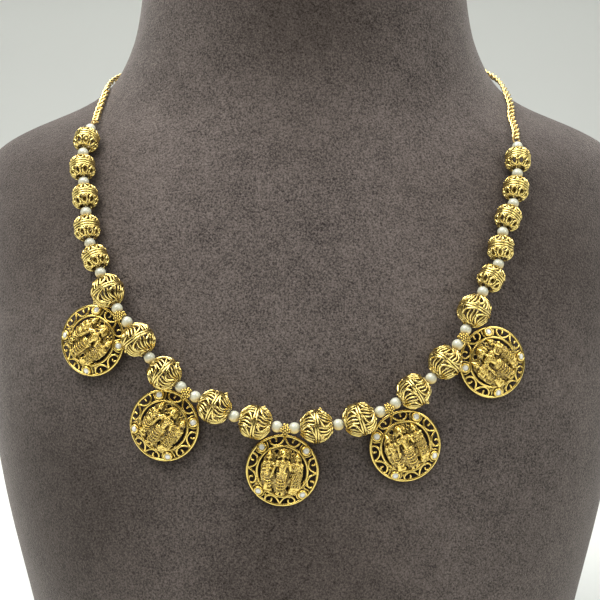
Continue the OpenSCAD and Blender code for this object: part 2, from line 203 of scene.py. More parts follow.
class Sock:
    def __init__(self, paint, out):
        self.paint, self.out = paint, out

    def math(self, operation, other, clamp=False):
        settings = {"operation": operation, "use_clamp": clamp}
        return self.paint.node("ShaderNodeMath", settings, {0: self, 1: other})

    def __add__(self, other):
        return self.math("ADD", other)

    def __sub__(self, other):
        return self.math("SUBTRACT", other)

    def __rsub__(self, other):
        return self * -1 + other

    def __mul__(self, other):
        return self.math("MULTIPLY", other)

    __radd__ = __add__
    __rmul__ = __mul__

    def least(self, other):
        return self.math("MINIMUM", other)

    def clamped(self):
        return self.math("ADD", 0.0, clamp=True)

    def scaled(self, low, high, start=0.0, end=1.0):
        ends = {"Value": self, "From Min": low, "From Max": high, "To Min": start, "To Max": end}
        return self.paint.node("ShaderNodeMapRange", {}, ends, "Result")


class Paint:
    def __init__(self, name, **constants):
        self.material = bpy.data.materials.new(name)
        self.material.use_nodes = True
        self.tree = self.material.node_tree
        self.shader = self.tree.nodes["Principled BSDF"]
        self.place = self.node("ShaderNodeTexCoord", {}, {}, "Object")
        for key, value in constants.items():
            self.feed(self.shader, key.replace("_", " "), value)

    def feed(self, node, name, value):
        if isinstance(value, Sock):
            self.tree.links.new(value.out, node.inputs[name])
        else:
            node.inputs[name].default_value = value

    def node(self, kind, settings, values, output=0):
        node = self.tree.nodes.new(kind)
        for key, value in settings.items():
            setattr(node, key, value)
        for key, value in values.items():
            self.feed(node, key, value)
        return Sock(self, node.outputs[output])

    def attribute(self, name):
        return self.node("ShaderNodeAttribute", {"attribute_name": name}, {}, "Fac")

    def noise(self, scale, detail, rough=.55):
        values = {"Vector": self.place, "Scale": scale, "Detail": detail, "Roughness": rough}
        return self.node("ShaderNodeTexNoise", {}, values, "Fac")

    def distance(self, spot):
        return self.node("ShaderNodeVectorMath", {"operation": "DISTANCE"}, {0: self.place, 1: spot}, "Value")

    def mix(self, factor, a, b):
        a, b = (q if isinstance(q, Sock) else (*q, 1) for q in (a, b))
        return self.node("ShaderNodeMix", {"data_type": "RGBA"}, {"Factor": factor, 6: a, 7: b}, 2)

    def bump(self, height, strength, distance):
        values = {"Height": height, "Strength": strength, "Distance": distance}
        self.feed(self.shader, "Normal", self.node("ShaderNodeBump", {}, values, "Normal"))


def gold(name, look):
    paint = Paint(name, Metallic=1.0, Coat_Weight=look["coat"], Coat_Roughness=.12, Coat_IOR=1.9)
    # Painted shade: the painted-light share darkens recesses and hollow insides towards the deep colour, and
    # the noise adds random worn patches.
    relief = paint.attribute("relief")
    shadeAndWear = (relief + (paint.noise(900, 3) - .5) * look["patch"]).scaled(look["low"], look["high"]).clamped()
    paint.feed(paint.shader, "Base Color", paint.mix(shadeAndWear, look["deep"], look["bright"]))
    paint.feed(paint.shader, "Roughness", shadeAndWear.scaled(0, 1, look["deepRough"], look["brightRough"]))
    paint.bump(paint.noise(1500, 3), look["hammer"], .0002)
    return paint.material


# deep is the painted shade colour of recesses and hollow insides; bright is the gold's own colour where lit.
goldLook = {"deep": (.13, .062, .004), "bright": (.9, .66, .145), "low": .27, "high": .82, "patch": .2,
            "deepRough": .42, "brightRough": .24, "hammer": .15, "coat": .7}
medallionGold = gold("medallionGold", goldLook)
beadGold = gold("beadGold", dict(goldLook, bright=(.92, .71, .2), brightRough=.2, hammer=.1))
chainGold = gold("chainGold", dict(goldLook, bright=(.95, .74, .25), brightRough=.2, hammer=.05,
                                   low=.1, high=.5))


def suede(look, shadeSpots):
    paint = Paint("suede", Roughness=.95, Sheen_Weight=look["sheen"], Sheen_Roughness=.45,
                  Sheen_Tint=(*look["sheenTint"], 1), Specular_IOR_Level=.15)
    cloud = paint.noise(16, 5, .62)
    brushed = paint.noise(150, 3, .6)
    grain = paint.noise(1500, 2, .75)
    tone = cloud * look["cloud"] + brushed * look["brushed"] + grain * look["grain"]
    nap = paint.mix(tone.scaled(*look["span"]).clamped(), look["dark"], look["light"])
    # Painted shadow under the medallions and beads, and painted shade in the patches: the suede is darkened
    # towards the shade colour near each spot.
    shades = [paint.distance(spot).scaled(inner, outer, least, 1) for spot, inner, outer, least in shadeSpots]
    free = reduce(Sock.least, shades)
    paint.feed(paint.shader, "Base Color", paint.mix(free, look["shade"], nap))
    paint.bump(grain * .8 + brushed * .4, look["nap"], .0005)
    return paint.material


suedeLook = {"dark": (.015, .0115, .0105), "light": (.175, .146, .134), "shade": (.012, .006, .002),
             "cloud": .6, "brushed": .5, "grain": 2.6, "span": (1.33, 2.37), "sheen": .35,
             "sheenTint": (.9, .85, .82), "nap": .8}
# Painted shade on the suede where less light falls: middle, inner and outer radius in metres, and the share
# of light left
paintedShadePatches = [((0, -.025, .25), .012, .045, .52), ((0, -.03, .212), .005, .03, .82),
                  ((-.108, -.008, .178), .02, .062, .55), ((.104, -.014, .17), .02, .065, .5),
                  ((-.09, -.046, .07), .02, .06, .57), ((0, -.073, .05), .02, .055, .66),
                  ((.05, -.033, .182), .002, .03, .86)]


def pearlMaterial(look):
    paint = Paint("pearl", Roughness=look["rough"], Coat_Weight=.6, Coat_Roughness=.08, Specular_IOR_Level=.6)
    # Painted reflection: the pearls' downward faces take the warm gold colour.
    paint.feed(paint.shader, "Base Color", paint.mix(paint.attribute("under"), look["white"], look["goldReflection"]))
    return paint.material


pearlCoat = pearlMaterial({"white": (.56, .57, .46), "goldReflection": (.85, .64, .24), "rough": .22})
# The cut stones glow faintly by emission: painted light for the light their facets send back.
stoneGlass = Paint("cutStone", Roughness=.02, IOR=2.3, Transmission_Weight=.25, Base_Color=(.92, .93, .88, 1),
                   Emission_Color=(1, 1, .95, 1), Emission_Strength=.04).material
threadFibre = Paint("threadFibre", Roughness=.6, Base_Color=(.45, .3, .09, 1)).material
print("materials ready")


def handIn(obj, material, replaced):
    obj.data.materials.clear()
    obj.data.materials.append(material)
    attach(obj, "root")
    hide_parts(replaced)


def corners(name):
    return meshPoints(nodes[name].data) * 1000


def middle(name):
    low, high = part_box(name)
    return np.array((low + high) / 2) * 1000


# Places of the pieces, read from the construction

bustSource = bmesh.new()
bustSource.from_mesh(nodes["neck_bust"].data)
bustTree = BVHTree.FromBMesh(bustSource)


def bustNormal(p):
    spot, normal, _, _ = bustTree.find_nearest(Vector(np.asarray(p) / 1000))
    away = Vector(np.asarray(p) / 1000) - spot
    return unit(away if away.length > 5e-4 else normal)


metres = np.diag([.001, .001, .001, 1])
threadPoints = np.unique(corners("thread").round(4), axis=0)


def beadFrame(name, reach):
    centre = middle(name)
    near = threadPoints[np.linalg.norm(threadPoints - centre, axis=1) < reach]
    far = near[np.linalg.norm(near - near[0], axis=1) > reach * .6]
    close = near[np.linalg.norm(near - near[0], axis=1) <= reach * .6]
    axis = unit(far.mean(0) - close.mean(0))
    if axis[0] < 0:
        axis = -axis
    out = bustNormal(centre)
    out = unit(out - axis * (out @ axis))
    origin = (far.mean(0) + close.mean(0)) / 2
    return matrixOf(out, np.cross(axis, out), axis, origin)


def solids(name):
    mesh = bmesh.new()
    mesh.from_mesh(nodes[name].data)
    bmesh.ops.remove_doubles(mesh, verts=mesh.verts, dist=1e-6)
    seen, groups = set(), []
    for start in mesh.verts:
        if start in seen:
            continue
        seen.add(start)
        stack, group = [start], []
        while stack:
            v = stack.pop()
            group.append(v.co[:])
            for e in v.link_edges:
                o = e.other_vert(v)
                if o not in seen:
                    seen.add(o)
                    stack.append(o)
        groups.append(np.array(group) * 1000)
    mesh.free()
    return groups


# Neck bust with a smooth covering

def buildBust(spec):
    pts = np.unique(corners("neck_bust").round(3), axis=0)
    rings = []
    for z in sorted(set(pts[:, 2])):
        ring = pts[pts[:, 2] == z]
        across = ring[:, 0] / max(abs(ring[:, 0]).max(), 1) * spec["width"]
        ring = ring[np.argsort(np.arctan2(ring[:, 1] - ring[:, 1].mean(), across))]
        rings.append(np.roll(ring, -int(np.argmax(ring[:, 0])), 0))
    sides, rows = len(rings[0]), len(rings)
    print("bust rings", rows, "sides", set(len(r) for r in rings))
    at = lambda i, j: i * sides + j % sides
    faces = [(at(i, j), at(i, j + 1), at(i + 1, j + 1), at(i + 1, j))
             for i in range(rows - 1) for j in range(sides)]
    faces += [tuple(range(sides - 1, -1, -1)), tuple(range((rows - 1) * sides, rows * sides))]
    cover = Shape().add(np.concatenate(rings), faces)
    obj = linked("neckBustCover", cover.mesh("neckBustCover", metres))
    mesh = obj.data
    z = np.array([v.co.z for v in mesh.vertices])
    ends = (z.min(), z.max())
    flat = [float(z[a] == z[b] and z[a] in ends) for a, b in (e.vertices for e in mesh.edges)]
    mesh.attributes.new("crease_edge", "FLOAT", "EDGE").data.foreach_set("value", flat)
    mod = obj.modifiers.new("smooth", "SUBSURF")
    mod.levels = mod.render_levels = spec["levels"]
    bake(obj)
    return obj


def bake(obj):
    graph = bpy.context.evaluated_depsgraph_get()
    graph.update()
    mesh = bpy.data.meshes.new_from_object(obj.evaluated_get(graph), preserve_all_data_layers=True,
                                           depsgraph=graph)
    old = obj.data
    obj.modifiers.clear()
    obj.data = mesh
    bpy.data.meshes.remove(old)
    return obj


# Painted shadow under each medallion and bead: inner and outer radius in metres, and the share of light left.
shadeUnder = {"medallion": (.0118, .0152, .2), "bead": (.006, .0095, .35)}
shadeSpots = [(middle(f"stones_{k}") / 1000, *shadeUnder["medallion"]) for k in range(1, 6)] + paintedShadePatches
shadeSpots += [(middle(f"{kind}_bead_{k}") / 1000, *shadeUnder["bead"])
           for kind in ("round", "barrel") for k in range(1, 11)]
bust = buildBust({"levels": 2, "width": 60})
handIn(bust, suede(suedeLook, shadeSpots), "neck_bust")
print("bust built", len(bust.data.polygons))


# Openwork disc of a medallion: dome towards +Z, up towards +Y

disc = {"radius": 12.7, "dome": 2.6, "rimWire": .48, "ring": 8.75, "ringWire": .42, "collet": 10.65,
        "scrollWide": .36, "scrollHigh": .42, "stone": 1.05, "stoneLift": .72}
disc["curve"] = (disc["radius"] ** 2 + disc["dome"] ** 2) / (2 * disc["dome"])


def domeZ(x, y):
    return math.sqrt(disc["curve"] ** 2 - x * x - y * y) - disc["curve"] + disc["dome"]


def domeNormal(x, y):
    return unit([x, y, domeZ(x, y) - disc["dome"] + disc["curve"]])


def onDome(points, lift=0.0):
    return np.array([np.array([x, y, domeZ(x, y)]) + domeNormal(x, y) * lift for x, y in points])


def domeWire(shape, flat, wide, high, lift, steps):
    flat = spline(flat, steps)
    taper = np.ones(len(flat))
    taper[:3] = (.6, .82, .95)
    taper[-3:] = (.95, .82, .6)
    wire(shape, onDome(flat, lift), [domeNormal(x, y) for x, y in flat], wide * taper, high)


def turned(points, angle, mirror=1):
    c, s = math.cos(angle), math.sin(angle)
    return [(mirror * x * c - y * s, mirror * x * s + y * c) for x, y in points]


def scrollWork(shape):
    volute = [(0, 11.8), (-.42, 10.9), (-1.15, 9.75), (-2.3, 8.95), (-3.7, 8.85), (-4.85, 9.5), (-5.15, 10.5),
              (-4.55, 11.2), (-3.65, 11.3), (-2.95, 10.85), (-2.85, 10.2)]
    strut = [(-5.36, 7.1), (-5.58, 7.95), (-5.85, 8.84), (-6.3, 9.45), (-7.0, 9.75)]
    for k in range(4):
        a = k * math.pi / 2
        for m in (1, -1):
            domeWire(shape, turned(volute, a, m), disc["scrollWide"], disc["scrollHigh"], .05, 4)
            blob(shape, onDome(turned([volute[-1]], a, m), .1)[0], .36)
            domeWire(shape, turned(strut, a, m), .27, .32, -.05, 4)
        blob(shape, onDome(turned([(0, 11.5)], a), .2)[0], .5)


def colletFrame(k, lift=0.0):
    a = math.pi / 4 + k * math.pi / 2
    x, y = disc["collet"] * math.cos(a), disc["collet"] * math.sin(a)
    n = domeNormal(x, y)
    u = unit(np.cross([0, 0, 1.0], n))
    return matrixOf(u, np.cross(n, u), n, np.array([x, y, domeZ(x, y)]) + n * lift)


def collets(shape):
    rim = [(1.16, .1), (.9, -.2), (.5, -.5), (.6, -.62), (1.4, -.6), (1.7, -.4), (1.76, .05), (1.74, .5),
           (1.66, .88), (1.46, 1.1), (1.22, 1.14), (1.08, 1.0)]
    cup = lathe(Shape(), rim, 28)
    for k in range(4):
        shape.join(cup, colletFrame(k))


bailSpec = {"drop": 15.4, "sink": 2.8, "lean": math.radians(8)}
bailGrains = [(-1.45, -.35, 1.95), (-.8, .4, 1.85), (0, .75, 1.6), (.8, .4, 1.85), (1.45, -.35, 1.95),
              (0, 0, 2.0), (-.72, -.42, 2.0), (.72, -.42, 2.0), (-1.35, -1.1, 1.75), (0, -.85, 1.95),
              (1.35, -1.1, 1.75), (-.62, -1.35, 1.6), (.62, -1.35, 1.6), (-.75, -2.1, 1), (0, -1.95, 1.3),
              (.75, -2.1, 1), (-.5, -2.8, .5), (.5, -2.8, .5)]


def bailWork(shape, spec):
    bail = Shape()
    for x in (-.5, .5):
        for k in range(10):
            a = k * math.pi / 5 + (.31 if x > 0 else 0)
            blob(bail, (x, 1.28 * math.cos(a), 1.28 * math.sin(a)), .4, rings=6, segments=8)
    core = lathe(Shape(), [(.62, .8), (.62, -.8), (1.25, -.7), (1.25, .7)], 24)
    bail.join(core, matrixOf((0, 0, -1), (0, 1, 0), (1, 0, 0), (0, 0, 0)))
    for grain in bailGrains:
        blob(bail, grain, .39, rings=6, segments=8)
    limb(bail, (0, -1.5, .5), (0, -3.3, -1.7), .8, .6, 12)
    c, s = math.cos(spec["lean"]), math.sin(spec["lean"])
    shape.join(bail, matrixOf((1, 0, 0), (0, c, -s), (0, s, c), (0, spec["drop"], spec["sink"])))


def on(x, y, h):
    return np.array([x, y, domeZ(x, y) - 1.0 + h])


def faceOn(shape, x, y, h, r, turn=0.0):
    blob(shape, on(x, y, h), (r * .86, r * 1.06, r * .9), rings=12, segments=16)
    c, s = math.cos(turn), math.sin(turn)
    at = lambda u, v, w: on(x + (u * c - v * s) * r, y + (u * s + v * c) * r, h + w * r)
    limb(shape, at(0, .28, .84), at(0, -.12, 1.0), r * .1, r * .15, 8)
    for e in (-1, 1):
        blob(shape, at(e * .34, .2, .78), (r * .2, r * .1, r * .1), rings=6, segments=8)
        limb(shape, at(e * .14, .4, .82), at(e * .5, .42, .66), r * .07, r * .06, 6)
        blob(shape, at(e * .9, -.05, .1), (r * .17, r * .3, r * .2), rings=6, segments=8)
        blob(shape, at(e * .95, -.5, .1), r * .19, rings=6, segments=8)
    blob(shape, at(0, -.42, .84), (r * .25, r * .08, r * .1), rings=6, segments=8)
    blob(shape, at(0, -.75, .68), (r * .28, r * .2, r * .2), rings=6, segments=8)


def crownOn(shape, x, y, h, r, tall):
    for k, (v, w) in enumerate(((0, .95), (.3, .82), (.58, .66), (.82, .46), (1, .26))):
        blob(shape, on(x, y + v * tall, h - .1 * k), (r * w, r * .36, r * w * .85), rings=7, segments=12)
    blob(shape, on(x, y + tall * 1.12, h - .3), r * .24, rings=6, segments=8)


def standing(shape, f):
    x, head, hip, foot, r, h = f["x"], f["head"], f["hip"], f["foot"], f["r"], f["h"]
    w = r * f["girth"]
    chest = head - 2.6 * r
    faceOn(shape, x, head, h + .5, r)
    crownOn(shape, x, head + r * .95, h + .5, r * 1.05, f["crown"])
    limb(shape, on(x, head - r, h), on(x, chest, h), r * .5, r * .65, 10)
    level = chest + .1 * r
    limb(shape, on(x - 1.35 * w, level, h), on(x + 1.35 * w, level, h), w * .62, w * .62, flat=.9)
    limb(shape, on(x, chest - .3 * r, h + .1), on(x, hip + r * .6, h), w * 1.15, w * .85, 14, .75)
    limb(shape, on(x - .55 * w, hip, h), on(x + .55 * w, hip, h), w * .85, w * .85, flat=.85)
    for a, b, c in f["arms"]:
        limb(shape, on(*a, h), on(*b, h + .2), w * .5, w * .42, 10)
        limb(shape, on(*b, h + .2), on(*c, h + .7), w * .42, w * .32, 10)
        blob(shape, on(*c, h + .8), (w * .42, w * .46, w * .34), rings=6, segments=8)
    for e in (-1, 1):
        ankle = on(x + e * f["spread"] * w + f["sweep"], foot + .9, h - .2)
        limb(shape, on(x + e * .5 * w, hip - .3 * r, h - .1), ankle, w * .95, w * f["hem"], flat=.85)
        blob(shape, on(x + e * .7 * w + f["sweep"], foot + .25, h), (w * .55, r * .36, r * .4),
             rings=6, segments=10)


def beads(shape, line, size):
    for q in line:
        blob(shape, q, size, rings=4, segments=6)


def raised(shape, path, wide, high, sides=6):
    wire(shape, path, [(0, 0, 1)] * len(path), wide, high, sides)


def ornament(shape, f):
    x, head, hip, foot, r, h = f["x"], f["head"], f["hip"], f["foot"], f["r"], f["h"]
    w, chest = r * f["girth"], head - 2.6 * r
    across = np.linspace(-1, 1, 9)
    for wide, d in ((.6, .1), (.85, .55), (1.1, 1.05), (1.25, 1.6)):
        beads(shape, [on(x + u * w * wide, chest + r * (.8 - d * (1 - u * u)), h + .84 * w - .35 * u * u * w)
                      for u in across], .19)
    rows = np.arange(hip + .9 * r, chest - .75 * r, .36)
    beads(shape, [on(x + .05 * (-1) ** k, y, h + .82 * w) for k, y in enumerate(rows)], .21)
    for e in (-1, 1):
        raised(shape, [on(x + e * (1.3 - 1.1 * t) * w, chest + r * (.3 - 2.2 * t), h + (.55 + .35 * t) * w)
                       for t in np.linspace(0, 1, 8)], .13, .16)
    for dy in (.42, .12, -.22):
        arc = [on(x + u * w * 1.35, hip + r * (dy + .25) - .25 * r * (1 - u * u),
                  h + .7 * w * math.sqrt(1 - .75 * u * u)) for u in across]
        if dy == .12:
            beads(shape, arc, .2)
        else:
            raised(shape, spline(arc, 3), .15, .17)
    for k in range(f["pleats"]):
        u = (k + .5) / f["pleats"] * 2 - 1
        deep = math.sqrt(1 - .6 * u * u)
        top = on(x + u * w * 1.2, hip - .45 * r, h + .72 * w * deep)
        low = on(x + f["sweep"] + u * w * (f["spread"] + f["hem"] * .8), foot + 1.0 + .4 * abs(u),
                 h - .2 + w * f["hem"] * deep)
        bulge = (top + low) / 2 + np.array([.12 * (-1) ** k, 0, .12])
        raised(shape, spline([top, bulge, low], 5), .17, .2)
    for row in range(f["garlands"]):
        y = hip - (1.1 + 1.05 * row) * r
        arc = [on(x + f["sweep"] * .5 + u * w * 1.25, y - .55 * (1 - u * u) + .12 * u,
                  h + .98 * w * math.sqrt(1 - .7 * u * u)) for u in np.linspace(-1, 1, 10)]
        if row % 2:
            raised(shape, spline(arc, 2), .15, .18)
        else:
            beads(shape, arc, .21)
    beads(shape, [on(x + 1.1 * r * math.cos(a), head + r * (.3 + .85 * math.sin(a)), h + 1.0 * r)
                  for a in np.linspace(.2, 2.94, 8)], .18)
    for a, b, _ in f["arms"]:
        m = (np.array(a) + np.array(b)) / 2
        beads(shape, [on(m[0] + .5 * w * math.cos(t), m[1] + .1, h + .1 + .5 * w * math.sin(t))
                      for t in np.linspace(.2, 2.94, 5)], .17)


people = [
    {"x": .1, "head": 5.9, "hip": -1.0, "foot": -8.3, "r": 1.05, "h": 1.5, "crown": 1.0, "girth": 1.3,
     "spread": .55, "hem": .5, "sweep": -.25, "pleats": 6, "garlands": 6,
     "arms": [((-2.3, 2.8), (-3.0, .9), (-3.3, -1.2)), ((2.3, 2.8), (2.9, .9), (2.6, 2.6))]},
    {"x": -4.75, "head": 4.9, "hip": -.9, "foot": -4.9, "r": .9, "h": 1.15, "crown": 1.1, "girth": 1.25,
     "spread": .5, "hem": .6, "sweep": .1, "pleats": 5, "garlands": 3,
     "arms": [((-6.3, 2.5), (-6.6, .6), (-5.4, .9)), ((-3.2, 2.5), (-3.3, .8), (-4.2, 1.0))]},
    {"x": 5.0, "head": 4.8, "hip": -.9, "foot": -6.6, "r": .9, "h": 1.15, "crown": .9, "girth": 1.3,
     "spread": .75, "hem": .95, "sweep": -.1, "pleats": 6, "garlands": 4,
     "arms": [((3.5, 2.5), (3.3, .7), (4.4, .9)), ((6.3, 2.5), (6.6, .6), (5.6, .9))]},
]
# Openings in the plate behind the figures: middle and half widths
holes = [(-2.4, 6.6, .85, .75), (3.0, 6.5, .4, .9), (4.0, 6.9, .45, .6), (2.3, 3.9, .4, .7),
         (-2.35, 4.3, .5, .5), (-2.25, .2, .45, 1.3), (-4.2, -4.3, .4, .5), (-2.7, -6.9, .45, .8),
         (2.3, -5.9, .55, 1.0), (2.75, -1.7, .35, .5), (.3, -8.75, 2.7, .42), (2.45, .9, .3, .8)]
# Limbs of the kneeling figure, the hems and the shoulders: both ends and their radii
joins = [((-5.1, -4.9, 1.3), (-5.3, -6.1, 1.2), .85, .8), ((-5.6, -6.4, 1.2), (-3.6, -6.6, 1.4), .8, .62),
         ((-3.6, -6.6, 1.4), (-4.1, -7.4, 1.1), .52, .42), ((-4.8, -5.1, 1.7), (-3.9, -5.5, 2.0), .42, .34),
         ((-3.9, -5.5, 2.0), (-3.5, -4.7, 2.2), .34, .28), ((3.2, -6.6, 1.2), (6.6, -7.0, .9), .55, .3),
         ((3.0, -7.3, 1.1), (6.0, -8.0, .9), .5, .3), ((-2.9, 2.3, 1.5), (2.9, 2.3, 1.5), .6, .6),
         ((-4.0, 2.5, 1.3), (-2.8, 2.4, 1.4), .6, .6), ((2.8, 2.4, 1.4), (4.4, 2.6, 1.3), .6, .6)]
# Flowers on the base: angle in degrees and distance from the middle
flowers = [(202, 9.1), (211, 9.9), (214, 8.6), (236, 9.0), (241, 10.3), (248, 9.3), (290, 9.3), (301, 9.0),
           (327, 9.1), (335, 9.7), (338, 8.7)]


def plateHolds(x, y):
    reach, above, below = (7.35, .058, .02) if x < 0 else (7.1, .045, .03)
    side = reach - (above if y > 0 else below) * y * y
    if abs(x) > side and -5.4 < y < 6.4 or math.hypot(x, y) > 8.9:
        return False
    return all(((x - a) / c) ** 2 + ((y - b) / d) ** 2 > 1 for a, b, c, d in holes)


def figureGroup():
    body = Shape()
    grid = np.arange(-8.8, 8.81, .4)
    for i, y in enumerate(grid):
        for x in grid + (.2 if i % 2 else 0):
            if plateHolds(x, y):
                blob(body, on(x, y, .4), (.34, .34, .32), rings=4, segments=6)
    for f in people:
        standing(body, f)
    faceOn(body, -4.9, -4.1, 1.7, .72, -.3)
    blob(body, on(-4.95, -3.4, 1.6), (.75, .4, .6), rings=6, segments=10)
    for a, b, ra, rb in joins:
        limb(body, on(*a), on(*b), ra, rb, 10)
    obj = linked("figureBody", body.mesh("figureBody"))
    melt = obj.modifiers.new("melt", "REMESH")
    melt.mode, melt.voxel_size = "VOXEL", .1
    ease = obj.modifiers.new("ease", "SMOOTH")
    ease.factor, ease.iterations = .5, 2
    trim = obj.modifiers.new("trim", "DECIMATE")
    trim.ratio = .2
    bake(obj)
    cast = meshShape(obj.data)
    bpy.data.objects.remove(obj)
    print("figures cast", len(cast.faces))
    for f in people:
        ornament(cast, f)
    for r, lift in ((1.5, 2.0), (1.85, 1.7)):
        flat = [(.1 + r * math.cos(a), 6.0 + r * math.sin(a)) for a in np.radians(np.linspace(-40, 220, 30))]
        wire(cast, [on(x, y, lift) for x, y in flat], [domeNormal(x, y) for x, y in flat], .24, .26)
    bow = spline([(-2.6, 2.3), (-3.0, 1.0), (-3.5, -.6), (-3.8, -2.2)], 5)
    raised(cast, [on(x, y, 2.5) for x, y in bow], .3, .3, 8)
    for x, y, m in ((3.5, 5.9, -1), (-2.4, 5.0, 1)):
        curl = [(x + m * r * math.cos(a), y + r * math.sin(a))
                for r, a in zip(np.linspace(.9, .3, 9), np.linspace(-1.2, 4.2, 9))]
        raised(cast, [on(*q, 1.2) for q in spline(curl, 3)], .22, .26, 8)
    step = spline([(-2.9, -8.15), (-1.3, -8.85), (.3, -9.05), (1.9, -8.8), (3.4, -8.05)], 5)
    wire(cast, [on(x, y, 1.3) for x, y in step], [domeNormal(x, y) for x, y in step], .36, .4)
    pick = np.random.default_rng(5)
    ground = BVHTree.FromPolygons(np.concatenate(body.points).tolist(), body.faces)
    for x, y in pick.uniform(-8.6, 8.6, (1500, 2)):
        if not plateHolds(x, y):
            continue
        spot, _, _, _ = ground.ray_cast(Vector((x, y, 9)), Vector((0, 0, -1)))
        if spot is not None and spot.z < on(x, y, 1.05)[2]:
            blob(cast, (x, y, spot.z + .06), pick.uniform(.2, .3), rings=4, segments=6)
    for row in range(9):
        spread = np.linspace(-1, 1, 6) + (.1 if row % 2 else -.1)
        beads(cast, [on(5.0 + u * 1.75, 1.9 - row * .78, 2.3 - .55 * u * u + .1 * (k % 2))
                     for k, u in enumerate(spread)], .22)
    for angle, r in flowers:
        a = math.radians(angle)
        x, y = r * math.cos(a), r * math.sin(a)
        blob(cast, on(x, y, 1.35), .27, rings=6, segments=8)
        for k in range(5):
            b = a + k * 2 * math.pi / 5
            blob(cast, on(x + .46 * math.cos(b), y + .46 * math.sin(b), 1.2), (.34, .22, .26),
                 np.array(Matrix.Rotation(b, 3, "Z")), rings=5, segments=6)
    return cast


# Painted shade: the share of rays that leave each point unblocked becomes its painted-light share, so
# recesses and hollow insides are painted dark.
def occlusion(mesh, reach, rays):
    tree = BVHTree.FromPolygons([v.co for v in mesh.vertices], [tuple(q.vertices) for q in mesh.polygons])
    spots = [((i + .5) / rays, i * 2.399963) for i in range(rays)]
    cone = [Vector((math.sqrt(u) * math.cos(a), math.sqrt(u) * math.sin(a), math.sqrt(1 - u)))
            for u, a in spots]
    values = np.zeros(len(mesh.vertices))
    normals = [n.vector.copy() for n in mesh.vertex_normals]
    for i, v in enumerate(mesh.vertices):
        turn = normals[i].to_track_quat("Z", "Y").to_matrix()
        start = v.co + normals[i] * .04
        light = 0.0
        for d in cone:
            hit = tree.ray_cast(start, turn @ d, reach)
            light += 1.0 if hit[0] is None else hit[3] / reach * .35
        values[i] = light / rays
    mesh.attributes["relief"].data.foreach_set("value", values)
    print("recesses measured", len(values), "mean", round(values.mean(), 2))


def buildDisc():
    shape = Shape()
    ringWire(shape, disc["radius"] - disc["rimWire"], .5, disc["rimWire"], .52, 120, 12)
    inner = [(disc["ring"] * math.cos(a), disc["ring"] * math.sin(a)) for a in np.arange(120) * math.pi / 60]
    wire(shape, onDome(inner), [domeNormal(*q) for q in inner], disc["ringWire"], disc["ringWire"], 10, True)
    scrollWork(shape)
    collets(shape)
    bailWork(shape, bailSpec)
    shape.join(figureGroup())
    mesh = shape.mesh("medallionPattern")
    mesh.validate()
    occlusion(mesh, 3, 14)
    return mesh


discMesh = buildDisc()
print("disc built", len(discMesh.polygons))


def discFrame(k):
    spots = np.array([g.mean(0) for g in solids(f"stones_{k}")])
    centre = spots.mean(0)
    n = np.linalg.svd(spots - centre)[2][2]
    if n @ bustNormal(centre) < 0:
        n = -n
    origin = centre - n * (domeZ(disc["collet"], 0) + .25)
    pts = corners(f"medallion_{k}")
    far = pts[np.linalg.norm(pts - origin, axis=1) > 13.6].mean(0) - origin
    up = unit(far - n * (far @ n))
    return matrixOf(np.cross(up, n), up, n, origin)


def placed(mesh, name, matrix):
    copy = mesh.copy()
    copy.name = name
    copy.transform(Matrix((metres @ matrix).tolist()))
    return linked(name, copy)


def cutStoneMesh(r):
    work = bmesh.new()
    rows = ((8, .56, .42, 0), (8, .8, .26, .5), (16, 1, .06, .25), (16, 1, 0, .25), (8, .62, -.32, .5))
    for count, radius, z, shift in rows:
        for k in range(count):
            a = (k + shift) * 2 * math.pi / count
            work.verts.new((r * radius * math.cos(a), r * radius * math.sin(a), r * z))
    work.verts.new((0, 0, -.72 * r))
    bmesh.ops.convex_hull(work, input=work.verts)
    bmesh.ops.dissolve_limit(work, angle_limit=.01, verts=work.verts, edges=work.edges)
    mesh = bpy.data.meshes.new("cutStone")
    work.to_mesh(mesh)
    work.free()
    return mesh


stoneMesh = cutStoneMesh(disc["stone"])
for k in range(1, 6):
    place = discFrame(k)
    handIn(placed(discMesh, f"medallionWork{k}", place), medallionGold, f"medallion_{k}")
    gems = bmesh.new()
    for q in range(4):
        one = stoneMesh.copy()
        one.transform(Matrix((metres @ place @ colletFrame(q, disc["stoneLift"])).tolist()))
        gems.from_mesh(one)
        bpy.data.meshes.remove(one)
    mesh = bpy.data.meshes.new(f"stonesCut{k}")
    gems.to_mesh(mesh)
    gems.free()
    handIn(linked(f"stonesCut{k}", mesh), stoneGlass, f"stones_{k}")
print("medallions placed")


# Repeated pieces, copied over points by a node group

def scatterGroup():
    group = bpy.data.node_groups.new("scatter", "GeometryNodeTree")
    for name, kind in (("Points", "Geometry"), ("Piece", "Object"), ("Finish", "Material")):
        group.interface.new_socket(name, in_out="INPUT", socket_type="NodeSocket" + kind)
    group.interface.new_socket("Geometry", in_out="OUTPUT", socket_type="NodeSocketGeometry")
    make = group.nodes.new
    source, sink = make("NodeGroupInput"), make("NodeGroupOutput")
    info, copy = make("GeometryNodeObjectInfo"), make("GeometryNodeInstanceOnPoints")
    turn, angles = make("FunctionNodeEulerToRotation"), make("GeometryNodeInputNamedAttribute")
    angles.data_type = "FLOAT_VECTOR"
    angles.inputs["Name"].default_value = "turn"
    solid, finish = make("GeometryNodeRealizeInstances"), make("GeometryNodeSetMaterial")
    link = group.links.new
    link(source.outputs["Points"], copy.inputs["Points"])
    link(source.outputs["Piece"], info.inputs["Object"])
    link(info.outputs["Geometry"], copy.inputs["Instance"])
    link([o for o in angles.outputs if o.enabled][0], turn.inputs[0])
    link(turn.outputs[0], copy.inputs["Rotation"])
    link(copy.outputs["Instances"], solid.inputs["Geometry"])
    link(solid.outputs["Geometry"], finish.inputs["Geometry"])
    link(source.outputs["Finish"], finish.inputs["Material"])
    link(finish.outputs["Geometry"], sink.inputs["Geometry"])
    return group


scatter = scatterGroup()


